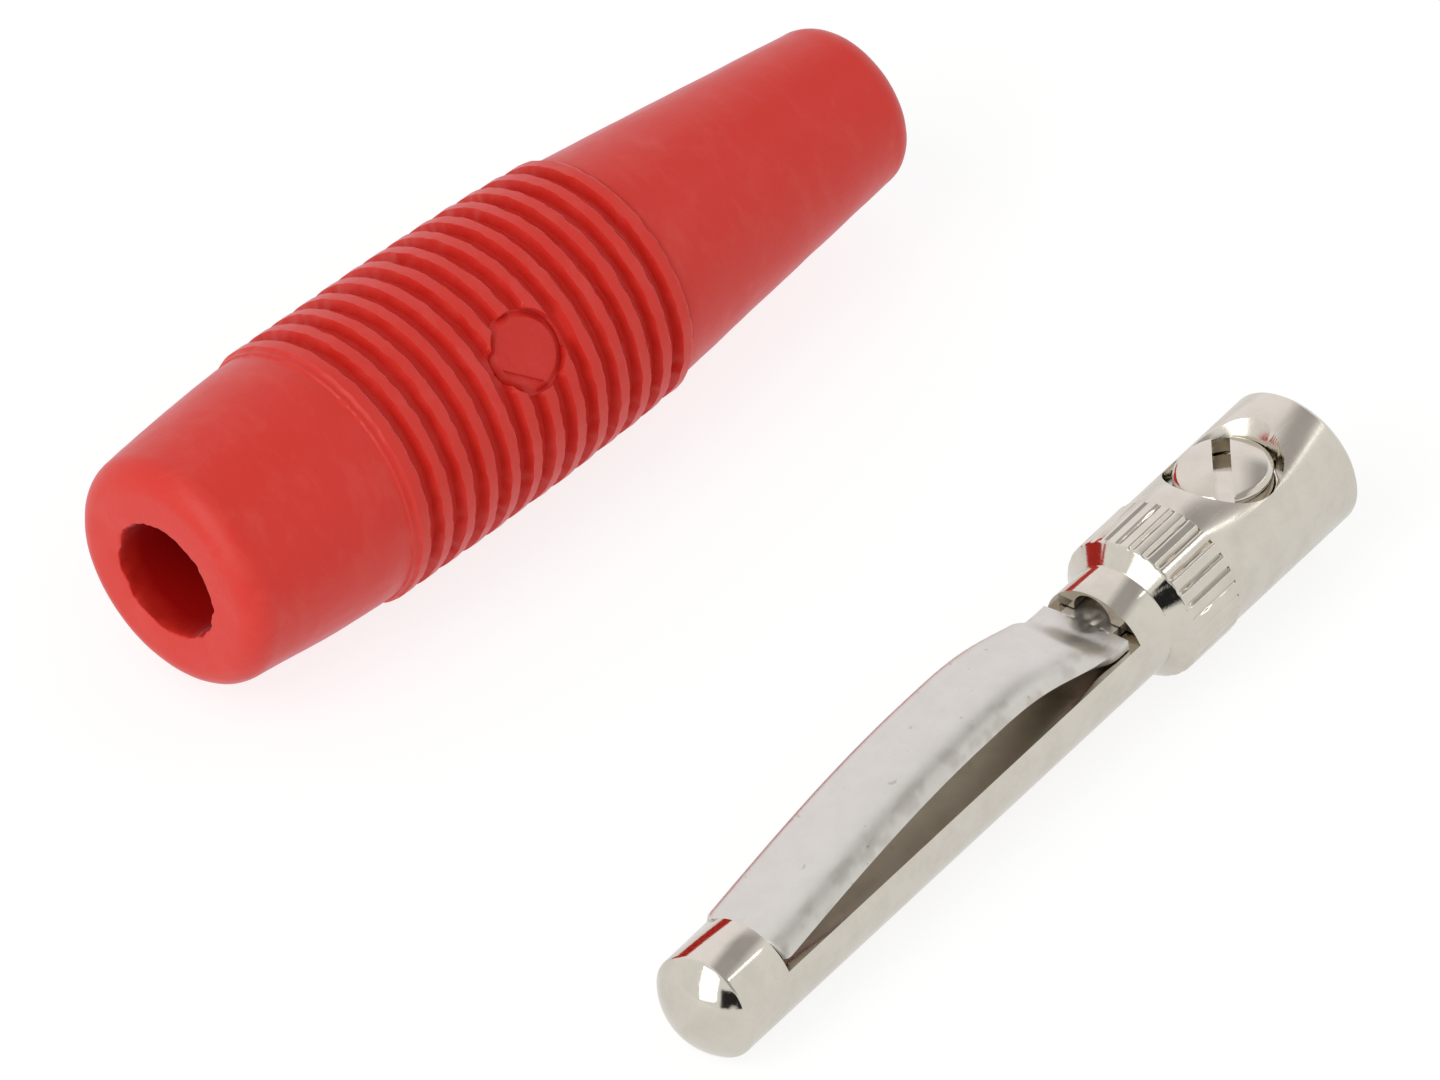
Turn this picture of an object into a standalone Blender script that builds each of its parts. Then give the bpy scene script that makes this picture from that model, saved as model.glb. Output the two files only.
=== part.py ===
"""Four millimetre banana plug, taken apart for wiring.

A turned contact with a bowed leaf spring and a clamp screw lies beside its moulded insulating sleeve.
Each turned piece is modelled along +X of its own frame, from its front end, with +Z up.
"""

import math

import bmesh
import bpy
from mathutils import Matrix, Vector

MM = 0.001

# Contact, stations along its axis from the tip
PIN_RADIUS = 2.0 * MM
NOSE_RADIUS = 1.94 * MM
NOSE_SPHERE_RADIUS = 2.45 * MM
TIP_LENGTH = 3.12 * MM
FLAT_LENGTH = 18.4 * MM
FLAT_HEIGHT = 0.67 * MM
RING_LENGTH = 1.4 * MM
CONE_LENGTH = 0.5 * MM
COLLAR_RADIUS = 2.62 * MM
COLLAR_LENGTH = 2.3 * MM
KNURL_DEPTH = 0.09 * MM
KNURL_TEETH = 30
BARREL_RADIUS = 2.55 * MM
BARREL_LENGTH = 6.5 * MM
BARREL_CHAMFER = 0.2 * MM
WIRE_BORE_RADIUS = 1.6 * MM
WIRE_BORE_DEPTH = BARREL_LENGTH + 0.1 * MM
DRILL_POINT_LENGTH = 0.9 * MM

# Leaf spring, its stations as shares of the flat's length
LEAF_THICKNESS = 0.35 * MM
LEAF_WIDTH = 3.4 * MM
LEAF_CORNER = 0.25 * MM
LEAF_CROWN = 0.55 * MM
LEAF_CROWN_POWER = 4
LEAF_BOW = 1.09 * MM
LEAF_SEAT_GAP = 0.05 * MM
LEAF_NOSE_GAP = 0.12 * MM
LEAF_RISE_START = TIP_LENGTH + 0.033 * FLAT_LENGTH
LEAF_CREST_START = TIP_LENGTH + 0.576 * FLAT_LENGTH
LEAF_CREST_END = TIP_LENGTH + 0.609 * FLAT_LENGTH
LEAF_FALL_END = TIP_LENGTH + 0.9565 * FLAT_LENGTH
LEAF_FALL_BIAS = 1.4
LEAF_FLATTENING_START = TIP_LENGTH + 0.875 * FLAT_LENGTH
LEAF_FLATTENING_LENGTH = 0.076 * FLAT_LENGTH
SHOULDER_GAP = 0.35 * MM
TONGUE_WIDTH = 2.1 * MM
TONGUE_LENGTH = 1.35 * MM
TUNNEL_SIDE_GAP = 0.08 * MM
TUNNEL_END_GAP = 0.15 * MM
STAKE_RADIUS = 0.72 * MM
STAKE_DEPTH = 0.2 * MM
STAKE_INSET = 0.2 * MM
POCKET_RADIUS = 0.74 * MM
POCKET_HEIGHT = 1.17 * MM

# Clamp screw
SCREW_RADIUS = 1.65 * MM
SCREW_LENGTH = 2.0 * MM
SCREW_DOME = 0.25 * MM
SCREW_EDGE = 0.14 * MM
SCREW_TOP_HEIGHT = 2.4 * MM
SCREW_SLOT_WIDTH = 0.6 * MM
SCREW_SLOT_DEPTH = 0.85 * MM
SCREW_SLOT_TURN = math.radians(40)
SCREW_TO_REAR = 0.557 * BARREL_LENGTH
THREAD_GAP = 0.05 * MM
THREAD_FOOT_HEIGHT = 0.25 * MM
COUNTERBORE_RADIUS = 1.95 * MM
COUNTERBORE_OFFSET = 0.12 * MM
COUNTERBORE_HEIGHT = WIRE_BORE_RADIUS + 0.08 * MM

# Insulating sleeve, stations along its axis from the front end
SLEEVE_LENGTH = 31.9 * MM
SLEEVE_FRONT_RADIUS = 4.19 * MM
SLEEVE_FRONT_ROUND = 1.0 * MM
SLEEVE_SHOULDER_RADIUS = 4.61 * MM
RIB_START = 6.95 * MM
RIB_PITCH = 1.06 * MM
RIB_COUNT = 13
RIB_DEPTH = 0.36 * MM
RIB_CREST_RADIUS = 4.75 * MM
RIB_REAR_CREST_RADIUS = 4.36 * MM
TAIL_FRONT_RADIUS = 4.11 * MM
TAIL_REAR_RADIUS = 2.93 * MM
TAIL_REAR_ROUND = 1.05 * MM
MOUTH_RADIUS = 2.1 * MM
MOUTH_LENGTH = 1.3 * MM
SLEEVE_GRIP_GAP = 0.04 * MM
CABLE_BORE_RADIUS = 1.8 * MM
SPOT_STATION = 13.35 * MM
SPOT_RADIUS = 1.42 * MM
SPOT_HEIGHT = 4.33 * MM
SPOT_DISC_RADIUS = 1.28 * MM
SPOT_GROOVE_HEIGHT = 4.19 * MM
SPOT_TURN = math.radians(45)

# How the two lie on the bench
SLEEVE_PLACE = Vector((3.764, 23.926)) * MM
SLEEVE_TURN = math.radians(-6.3)
CONTACT_ROLL = math.radians(7)

CONTACT_STEPS = 2 * KNURL_TEETH
SLEEVE_STEPS = 40
SCREW_STEPS = 32
MERGE = 1e-7

RING_FRONT = TIP_LENGTH + FLAT_LENGTH
CONE_FRONT = RING_FRONT + RING_LENGTH
COLLAR_FRONT = CONE_FRONT + CONE_LENGTH
BARREL_FRONT = COLLAR_FRONT + COLLAR_LENGTH
CONTACT_LENGTH = BARREL_FRONT + BARREL_LENGTH
NOSE_LENGTH = NOSE_SPHERE_RADIUS - math.sqrt(NOSE_SPHERE_RADIUS**2 - NOSE_RADIUS**2)
SCREW_STATION = CONTACT_LENGTH - SCREW_TO_REAR
CONTACT_TILT = math.atan2(COLLAR_RADIUS - NOSE_RADIUS, COLLAR_FRONT - NOSE_LENGTH)
SHOULDER = RING_FRONT - SHOULDER_GAP
TONGUE_END = SHOULDER + TONGUE_LENGTH
TONGUE_TOP = FLAT_HEIGHT + LEAF_SEAT_GAP + LEAF_THICKNESS
STAKE_STATION = RING_FRONT - STAKE_INSET
RIB_END = RIB_START + RIB_COUNT * RIB_PITCH


def clear_scene():
    for obj in list(bpy.data.objects):
        bpy.data.objects.remove(obj, do_unlink=True)


def new_collection(name):
    collection = bpy.data.collections.new(name)
    bpy.context.scene.collection.children.link(collection)
    return collection


def new_empty(collection, name, parent=None):
    empty = bpy.data.objects.new(name, None)
    collection.objects.link(empty)
    empty.parent = parent
    return empty


def new_object(collection, name, mesh, parent):
    obj = bpy.data.objects.new(name, mesh)
    collection.objects.link(obj)
    obj.parent = parent
    return obj


def evaluated_mesh(obj, name):
    """The object's mesh with its modifiers applied, as a mesh of its own; the object is removed."""
    bpy.context.view_layer.update()
    depsgraph = bpy.context.evaluated_depsgraph_get()
    mesh = bpy.data.meshes.new_from_object(obj.evaluated_get(depsgraph))
    mesh.name = name
    bpy.data.objects.remove(obj, do_unlink=True)
    return mesh


def turned_mesh(collection, name, profile, steps):
    """Spin a profile of (station, radius) points, from the front end round the outside, about +X."""
    mesh = bpy.data.meshes.new(name)
    points = [(radius, 0.0, -station) for station, radius in profile]
    mesh.from_pydata(points, [(i, i + 1) for i in range(len(points) - 1)], [])
    obj = new_object(collection, name, mesh, None)
    screw = obj.modifiers.new("Turn", "SCREW")
    screw.axis = "Z"
    screw.angle = math.tau
    screw.steps = steps
    screw.render_steps = steps
    screw.use_merge_vertices = True
    screw.merge_threshold = MERGE
    turned = evaluated_mesh(obj, name)
    turned.transform(Matrix.Rotation(-math.pi / 2, 4, "Y"))
    return turned


def shade_round(mesh, angle=30):
    mesh.shade_smooth()
    mesh.set_sharp_from_angle(angle=math.radians(angle))


def plain_material(name, color, roughness, metallic):
    material = bpy.data.materials.new(name)
    material.use_nodes = True
    shader = material.node_tree.nodes["Principled BSDF"]
    shader.inputs["Base Color"].default_value = (*color, 1.0)
    shader.inputs["Roughness"].default_value = roughness
    shader.inputs["Metallic"].default_value = metallic
    return material


def box_mesh(name, low, high):
    mesh = bpy.data.meshes.new(name)
    bm = bmesh.new()
    bmesh.ops.create_cube(bm, size=1.0)
    low, high = Vector(low), Vector(high)
    bmesh.ops.scale(bm, vec=high - low, verts=bm.verts)
    bmesh.ops.translate(bm, vec=(low + high) / 2, verts=bm.verts)
    bm.to_mesh(mesh)
    bm.free()
    return mesh


def drum_mesh(name, radius, length, segments):
    """A plain cylinder from the origin up +Z."""
    mesh = bpy.data.meshes.new(name)
    bm = bmesh.new()
    bmesh.ops.create_cone(
        bm, cap_ends=True, segments=segments, radius1=radius, radius2=radius, depth=length
    )
    bmesh.ops.translate(bm, vec=(0, 0, length / 2), verts=bm.verts)
    bm.to_mesh(mesh)
    bm.free()
    return mesh


def cut(target, cutters, name, mesh, location=(0, 0, 0), rotation=(0, 0, 0)):
    """Take a cutter's shape out of target; the cutter shares target's parent."""
    cutter = new_object(cutters, name, mesh, target.parent)
    cutter.location = location
    cutter.rotation_euler = rotation
    cutter.display_type = "WIRE"
    cutter.hide_render = True
    boolean = target.modifiers.new(name, "BOOLEAN")
    boolean.operation = "DIFFERENCE"
    boolean.object = cutter
    return cutter


def contact_profile():
    """Nose dome, faintly tapered pin, ring, cone, collar, barrel and the wire bore."""
    dome_angle = math.asin(NOSE_RADIUS / NOSE_SPHERE_RADIUS)
    arcs = 6
    points = []
    for i in range(arcs + 1):
        angle = dome_angle * i / arcs
        station = NOSE_SPHERE_RADIUS * (1 - math.cos(angle))
        points.append((station, NOSE_SPHERE_RADIUS * math.sin(angle)))
    bore_end = CONTACT_LENGTH - WIRE_BORE_DEPTH
    points += [
        (RING_FRONT, PIN_RADIUS),
        (CONE_FRONT, PIN_RADIUS),
        (COLLAR_FRONT, COLLAR_RADIUS),
        (BARREL_FRONT, COLLAR_RADIUS),
        (BARREL_FRONT, BARREL_RADIUS),
        (CONTACT_LENGTH - BARREL_CHAMFER, BARREL_RADIUS),
        (CONTACT_LENGTH, BARREL_RADIUS - BARREL_CHAMFER),
        (CONTACT_LENGTH, WIRE_BORE_RADIUS),
        (bore_end, WIRE_BORE_RADIUS),
        (bore_end - DRILL_POINT_LENGTH, 0.0),
    ]
    return points


def press_knurl(mesh):
    """Sink every second line of the collar, which leaves straight teeth."""
    for vertex in mesh.vertices:
        radius = math.hypot(vertex.co.y, vertex.co.z)
        if radius < (COLLAR_RADIUS + BARREL_RADIUS) / 2:
            continue
        turn = math.atan2(vertex.co.z, vertex.co.y) / math.tau * CONTACT_STEPS
        if round(turn) % 2:
            shrink = 1 - KNURL_DEPTH / radius
            vertex.co.y *= shrink
            vertex.co.z *= shrink


def build_contact(parts, cutters, parent):
    mesh = turned_mesh(parts, "contact_body", contact_profile(), CONTACT_STEPS)
    press_knurl(mesh)
    shade_round(mesh)
    body = new_object(parts, "contact_body", mesh, parent)
    wide = 2 * COLLAR_RADIUS
    flat = box_mesh("leaf_flat", (TIP_LENGTH, -wide, FLAT_HEIGHT), (RING_FRONT, wide, wide))
    cut(body, cutters, "leaf_flat", flat)
    tunnel_half = TONGUE_WIDTH / 2 + TUNNEL_SIDE_GAP
    tunnel = box_mesh(
        "tongue_tunnel",
        (RING_FRONT - LEAF_THICKNESS, -tunnel_half, FLAT_HEIGHT),
        (TONGUE_END + TUNNEL_END_GAP, tunnel_half, TONGUE_TOP + LEAF_SEAT_GAP),
    )
    cut(body, cutters, "tongue_tunnel", tunnel)
    pocket = drum_mesh("ring_pocket", POCKET_RADIUS, TONGUE_LENGTH, 24)
    place = (RING_FRONT - LEAF_THICKNESS, 0, POCKET_HEIGHT)
    cut(body, cutters, "ring_pocket", pocket, place, (0, math.pi / 2, 0))
    thread = drum_mesh("screw_thread", SCREW_RADIUS + THREAD_GAP, 2 * BARREL_RADIUS, SCREW_STEPS)
    cut(body, cutters, "screw_thread", thread, (SCREW_STATION, 0, THREAD_FOOT_HEIGHT))
    mouth = drum_mesh("screw_counterbore", COUNTERBORE_RADIUS, 2 * BARREL_RADIUS, 40)
    place = (SCREW_STATION + COUNTERBORE_OFFSET, 0, COUNTERBORE_HEIGHT)
    cut(body, cutters, "screw_counterbore", mouth, place)
    nickel = plain_material("nickel_plated_brass", (0.74, 0.72, 0.67), 0.16, 1.0)
    body.data.materials.append(nickel)
    return body


def leaf_raise(station):
    """How far the bow lifts the strip: a quarter sine up, a level crest and a steeper fall."""
    if station >= LEAF_FALL_END:
        return 0.0
    if station < LEAF_CREST_START:
        share = (station - LEAF_RISE_START) / (LEAF_CREST_START - LEAF_RISE_START)
        return LEAF_BOW * math.sin(math.pi / 2 * share)
    share = max(0.0, (station - LEAF_CREST_END) / (LEAF_FALL_END - LEAF_CREST_END))
    return LEAF_BOW * (1 + math.cos(math.pi * share**LEAF_FALL_BIAS)) / 2


def leaf_point(station, side):
    """Outer face of the strip: flat with turned-down sides, then level all across for the tongue."""
    half = LEAF_WIDTH / 2
    if station > SHOULDER:
        half = TONGUE_WIDTH / 2
    corner = min(1.0, max(0.0, 1 - (station - TIP_LENGTH - LEAF_NOSE_GAP) / LEAF_CORNER))
    half -= LEAF_CORNER * (1 - math.sqrt(1 - corner**2))
    y = side * half
    edge = math.sqrt(PIN_RADIUS**2 - (LEAF_WIDTH / 2) ** 2)
    flatten = min(1.0, max(0.0, (station - LEAF_FLATTENING_START) / LEAF_FLATTENING_LENGTH))
    crown = 1 - flatten * flatten * (3 - 2 * flatten)
    rise = LEAF_CROWN * (1 - abs(side) ** LEAF_CROWN_POWER)
    level = TONGUE_TOP + crown * (edge - TONGUE_TOP + rise)
    return (station, y, level + leaf_raise(station))


def build_leaf(parts, cutters, parent):
    """A crowned strip bowed over the flat, with a narrow tongue under the ring."""
    front = TIP_LENGTH + LEAF_NOSE_GAP
    cells = 34
    across = 8
    stations = [front, front + LEAF_CORNER * 0.3, front + LEAF_CORNER]
    stations += [
        stations[-1] + (SHOULDER - stations[-1]) * i / cells for i in range(1, cells + 1)
    ]
    stations += [SHOULDER + LEAF_THICKNESS * 0.1, TONGUE_END]
    last = len(stations) - 1
    mesh = bpy.data.meshes.new("leaf_spring")
    bm = bmesh.new()
    bmesh.ops.create_grid(bm, x_segments=last, y_segments=across, size=0.5)
    for vertex in bm.verts:
        station = stations[round((vertex.co.x + 0.5) * last)]
        vertex.co = leaf_point(station, vertex.co.y * 2)
    bm.to_mesh(mesh)
    bm.free()
    obj = new_object(parts, "leaf_sheet", mesh, None)
    solid = obj.modifiers.new("Sheet", "SOLIDIFY")
    solid.thickness = LEAF_THICKNESS
    solid.offset = -1.0
    thick = evaluated_mesh(obj, "leaf_spring")
    shade_round(thick, 40)
    leaf = new_object(parts, "leaf_spring", thick, parent)
    punch_radius = (STAKE_RADIUS**2 + STAKE_DEPTH**2) / (2 * STAKE_DEPTH)
    punch = bpy.data.meshes.new("stake_punch")
    bm = bmesh.new()
    bmesh.ops.create_uvsphere(bm, u_segments=20, v_segments=16, radius=punch_radius)
    bm.to_mesh(punch)
    bm.free()
    punch_height = TONGUE_TOP + punch_radius - STAKE_DEPTH
    cut(leaf, cutters, "stake_punch", punch, (STAKE_STATION, 0, punch_height))
    strip = plain_material("nickel_plated_spring_strip", (0.66, 0.65, 0.62), 0.34, 1.0)
    leaf.data.materials.append(strip)
    return leaf


def build_screw(parts, cutters, parent):
    """Headless domed clamp screw with a slot, its origin on its own axis under the slot."""
    profile = [(0.0, 0.0)]
    arcs = 4
    flat_radius = SCREW_RADIUS - SCREW_EDGE
    for i in range(1, arcs + 1):
        radius = flat_radius * i / arcs
        profile.append((SCREW_DOME * (radius / flat_radius) ** 2, radius))
    profile += [
        (SCREW_DOME + SCREW_EDGE, SCREW_RADIUS),
        (SCREW_LENGTH - SCREW_EDGE, SCREW_RADIUS),
        (SCREW_LENGTH, SCREW_RADIUS - SCREW_EDGE),
        (SCREW_LENGTH, 0.0),
    ]
    mesh = turned_mesh(parts, "clamp_screw", profile, SCREW_STEPS)
    mesh.transform(Matrix.Rotation(math.pi / 2, 4, "Y"))
    shade_round(mesh)
    seat = new_empty(parts, "clamp_screw_axis", parent)
    seat.location = (SCREW_STATION, 0, SCREW_TOP_HEIGHT)
    seat.rotation_euler = (0, 0, SCREW_SLOT_TURN)
    screw = new_object(parts, "clamp_screw", mesh, seat)
    reach = 2 * SCREW_RADIUS
    half = SCREW_SLOT_WIDTH / 2
    slot = box_mesh("screw_slot", (-reach, -half, -SCREW_SLOT_DEPTH), (reach, half, SCREW_LENGTH))
    cut(screw, cutters, "screw_slot", slot)
    plating = plain_material("nickel_plated_screw", (0.76, 0.74, 0.7), 0.14, 1.0)
    screw.data.materials.append(plating)
    return screw


def rib_crest(station):
    """Crest radius of the ribs: level at the front, then an easy fall to the rear rib."""
    share = (station - RIB_START) / (RIB_END - RIB_START)
    return RIB_CREST_RADIUS - (RIB_CREST_RADIUS - RIB_REAR_CREST_RADIUS) * share**3


def rounded_corner(centre_station, centre_radius, fillet, start, end, arcs):
    """Points along a fillet in the profile plane, by angle from the rear direction."""
    points = []
    for i in range(arcs + 1):
        angle = math.radians(start + (end - start) * i / arcs)
        station = centre_station + fillet * math.cos(angle)
        points.append((station, centre_radius + fillet * math.sin(angle)))
    return points


def sleeve_profile():
    """Outside from the mouth over the ribs to the cable end, then the cavity back to the mouth."""
    front_centre = SLEEVE_FRONT_RADIUS - SLEEVE_FRONT_ROUND
    points = rounded_corner(SLEEVE_FRONT_ROUND, front_centre, SLEEVE_FRONT_ROUND, 180, 90, 5)
    swells = 4
    for i in range(1, swells + 1):
        share = i / swells
        station = SLEEVE_FRONT_ROUND + (RIB_START - SLEEVE_FRONT_ROUND) * share
        swell = (SLEEVE_SHOULDER_RADIUS - SLEEVE_FRONT_RADIUS) * (1 - (1 - share) ** 1.5)
        points.append((station, SLEEVE_FRONT_RADIUS + swell))
    for i in range(RIB_COUNT):
        start = RIB_START + i * RIB_PITCH
        crest = rib_crest(start + RIB_PITCH / 2)
        flank = RIB_PITCH * 0.18
        points.append((start + flank, crest - RIB_DEPTH * 0.2))
        points.append((start + RIB_PITCH / 2, crest))
        points.append((start + RIB_PITCH - flank, crest - RIB_DEPTH * 0.2))
        if i < RIB_COUNT - 1:
            points.append((start + RIB_PITCH, crest - RIB_DEPTH))
    points.append((RIB_END, TAIL_FRONT_RADIUS))
    rear_station = SLEEVE_LENGTH - TAIL_REAR_ROUND
    rear_centre = TAIL_REAR_RADIUS - TAIL_REAR_ROUND
    points += rounded_corner(rear_station, rear_centre, TAIL_REAR_ROUND, 90, 0, 4)
    grip = BARREL_RADIUS + SLEEVE_GRIP_GAP
    collar_grip = COLLAR_RADIUS + SLEEVE_GRIP_GAP
    collar_seat = MOUTH_LENGTH + CONE_LENGTH
    barrel_seat = collar_seat + COLLAR_LENGTH
    cavity_end = barrel_seat + BARREL_LENGTH
    points += [
        (SLEEVE_LENGTH, CABLE_BORE_RADIUS),
        (cavity_end + CONE_LENGTH, CABLE_BORE_RADIUS),
        (cavity_end, grip),
        (barrel_seat, grip),
        (barrel_seat, collar_grip),
        (collar_seat, collar_grip),
        (MOUTH_LENGTH, MOUTH_RADIUS),
        (0.0, MOUTH_RADIUS),
        points[0],
    ]
    return points


def build_sleeve(parts, cutters, parent):
    mesh = turned_mesh(parts, "insulating_sleeve", sleeve_profile(), SLEEVE_STEPS)
    shade_round(mesh)
    sleeve = new_object(parts, "insulating_sleeve", mesh, parent)
    turn = (SPOT_TURN, 0, 0)
    outward = Vector((0, -math.sin(SPOT_TURN), math.cos(SPOT_TURN)))
    axis_point = Vector((SPOT_STATION, 0, 0))
    spot = drum_mesh("gate_spot", SPOT_RADIUS, RIB_CREST_RADIUS, 32)
    cut(sleeve, cutters, "gate_spot", spot, axis_point + outward * SPOT_HEIGHT, turn)
    groove = turned_mesh(
        cutters,
        "gate_groove",
        [
            (0.0, SPOT_DISC_RADIUS),
            (0.0, SPOT_RADIUS),
            (SPOT_HEIGHT, SPOT_RADIUS),
            (SPOT_HEIGHT, SPOT_DISC_RADIUS),
            (0.0, SPOT_DISC_RADIUS),
        ],
        32,
    )
    groove.transform(Matrix.Rotation(math.pi / 2, 4, "Y"))
    groove_top = SPOT_GROOVE_HEIGHT + SPOT_HEIGHT
    cut(sleeve, cutters, "gate_groove", groove, axis_point + outward * groove_top, turn)
    plastic = plain_material("red_moulded_plastic", (0.6, 0.05, 0.04), 0.42, 0.0)
    sleeve.data.materials.append(plastic)
    return sleeve


def centre_on_floor(root, pieces):
    """Move the whole plug so that the middle of its footprint is over the origin, at floor level."""
    bpy.context.view_layer.update()
    depsgraph = bpy.context.evaluated_depsgraph_get()
    corners = []
    for piece in pieces:
        shape = piece.evaluated_get(depsgraph)
        corners += [piece.matrix_world @ vertex.co for vertex in shape.data.vertices]
    low = Vector([min(c[i] for c in corners) for i in range(3)])
    high = Vector([max(c[i] for c in corners) for i in range(3)])
    root.location = (-(low.x + high.x) / 2, -(low.y + high.y) / 2, -low.z)
    bpy.context.view_layer.update()


def main():
    clear_scene()
    parts = new_collection("banana_plug")
    cutters = new_collection("cutters")
    root = new_empty(parts, "plug_root")
    contact_rest = new_empty(parts, "contact_rest", root)
    contact_rest.rotation_euler = (-CONTACT_ROLL, -CONTACT_TILT, 0)
    sleeve_rest = new_empty(parts, "sleeve_rest", root)
    pieces = [
        build_contact(parts, cutters, contact_rest),
        build_leaf(parts, cutters, contact_rest),
        build_screw(parts, cutters, contact_rest),
        build_sleeve(parts, cutters, sleeve_rest),
    ]
    lift = NOSE_RADIUS * math.cos(CONTACT_TILT) - NOSE_LENGTH * math.sin(CONTACT_TILT)
    contact_rest.location = (0, 0, lift)
    sleeve_rest.location = (*SLEEVE_PLACE, RIB_CREST_RADIUS)
    sleeve_rest.rotation_euler = (0, 0, SLEEVE_TURN)
    centre_on_floor(root, pieces)


main()
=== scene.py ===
"""Looks for a four millimetre banana plug: nickelled contact, leaf, clamp screw and red sleeve."""

import math

import bmesh
import bpy
from bpy.props import FloatProperty, FloatVectorProperty, IntProperty, PointerProperty
from mathutils import Euler, Matrix, Vector, noise


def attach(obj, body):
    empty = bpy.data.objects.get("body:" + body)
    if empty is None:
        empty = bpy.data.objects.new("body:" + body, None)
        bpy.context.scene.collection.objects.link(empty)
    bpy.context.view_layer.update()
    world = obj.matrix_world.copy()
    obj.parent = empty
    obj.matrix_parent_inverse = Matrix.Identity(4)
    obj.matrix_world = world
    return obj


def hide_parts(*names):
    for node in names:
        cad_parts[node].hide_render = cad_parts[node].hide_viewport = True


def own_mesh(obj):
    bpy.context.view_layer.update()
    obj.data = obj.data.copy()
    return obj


bl_info = {
    "name": "Banana plug looks",
    "version": (1, 0, 0),
    "blender": (4, 5, 0),
    "location": "3D View > Sidebar > Plug",
    "description": "Dresses the packed banana plug and sets up its studio",
    "category": "Object",
}

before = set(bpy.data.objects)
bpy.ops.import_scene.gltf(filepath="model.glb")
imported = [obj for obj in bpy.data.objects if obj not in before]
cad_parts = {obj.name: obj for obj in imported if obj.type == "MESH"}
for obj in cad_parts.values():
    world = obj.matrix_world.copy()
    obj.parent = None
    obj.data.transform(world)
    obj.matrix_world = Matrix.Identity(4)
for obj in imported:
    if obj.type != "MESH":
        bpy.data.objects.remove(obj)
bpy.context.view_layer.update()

MM = 0.001
MERGE = 1e-7
UP = Vector((0, 0, 1))

# What counts as a sliver left by a cut, and as a sharp edge to break
SLIVER = 0.002 * MM
SHARP = math.radians(35)

# Where the contact and the sleeve lie, as in the part's own source
CONTACT_TIP = Vector((-17.83883, -12.68547, 1.91024)) * MM
CONTACT_TURN = (-math.radians(7), -math.radians(1.73367), 0.0)
SLEEVE_FRONT = Vector((-14.07483, 11.24053, 4.74998)) * MM
SLEEVE_TURN = (0.0, 0.0, -math.radians(6.3))
CONTACT_PLACE = Matrix.Translation(CONTACT_TIP) @ Euler(CONTACT_TURN).to_matrix().to_4x4()
SLEEVE_PLACE = Matrix.Translation(SLEEVE_FRONT) @ Euler(SLEEVE_TURN).to_matrix().to_4x4()


def length(name, default, description):
    return FloatProperty(
        name=name, description=description, default=default * MM, subtype="DISTANCE", unit="LENGTH"
    )


def degrees(name, default, description):
    return FloatProperty(
        name=name, description=description, default=math.radians(default), subtype="ANGLE"
    )


def srgb(code):
    """An sRGB hex colour as linear red, green and blue."""
    channels = [int(code[i : i + 2], 16) / 255 for i in (0, 2, 4)]
    return tuple(c / 12.92 if c <= 0.04045 else ((c + 0.055) / 1.055) ** 2.4 for c in channels)


def colour(name, code, description):
    look = dict(default=srgb(code), subtype="COLOR", size=3, min=0, max=1)
    return FloatVectorProperty(name=name, description=description, **look)


class ContactSizes(bpy.types.PropertyGroup):
    """Measures of the turned contact, from its tip and its axis"""

    pin_radius: length("Pin radius", 2.0, "Radius of the mating pin")
    nose_radius: length("Nose radius", 1.94, "Radius of the pin at its nose")
    nose_sphere: length("Nose sphere", 2.45, "Radius of the sphere that the nose is part of")
    nose_round: length("Nose edge", 0.16, "Rounding where the nose meets the pin")
    tip_length: length("Tip length", 3.12, "Full round length in front of the flat")
    flat_length: length("Flat length", 18.4, "Length of the milled flat under the leaf")
    flat_height: length("Flat height", 0.67, "Height of the flat above the axis")
    ring_length: length("Ring length", 1.4, "Length of the full round behind the flat")
    cone_length: length("Cone length", 0.5, "Length of the cone up to the collar")
    collar_radius: length("Collar radius", 2.62, "Radius over the knurled collar")
    collar_length: length("Collar length", 2.3, "Length of the knurled collar")
    knurl_depth: length("Knurl depth", 0.11, "Depth of the flutes")
    knurl_teeth: IntProperty(name="Knurl teeth", description="Teeth round the collar", default=30)
    barrel_radius: length("Barrel radius", 2.55, "Radius of the barrel")
    barrel_length: length("Barrel length", 6.5, "Length of the barrel")
    barrel_chamfer: length("Barrel chamfer", 0.2, "Chamfer at the wire end")
    bore_radius: length("Wire bore radius", 1.6, "Radius of the wire bore")
    bore_depth: length("Wire bore depth", 6.6, "Depth of the wire bore")
    drill_point: length("Drill point", 0.9, "Length of the bore's conical end")
    counterbore_radius: length("Counterbore radius", 2.04, "Radius of the step round the screw")
    flare: length("Flare", 0.14, "How far the step lies behind the screw")
    flare_turn: degrees("Flare turn", 38, "Where the step is countersunk")
    counterbore_height: length("Counterbore floor", 1.45, "Height of the step above the axis")
    thread_radius: length("Thread bore radius", 1.7, "Radius of the hole that the screw turns in")
    thread_foot: length("Thread foot", 0.25, "Height where the threaded hole ends")
    pocket_radius: length("Pocket radius", 0.74, "Radius of the pocket under the ring")
    pocket_height: length("Pocket height", 1.17, "Height of the pocket's centre above the axis")
    edge: length("Broken edge", 0.035, "Width of the broken edges of milled cuts")


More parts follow.
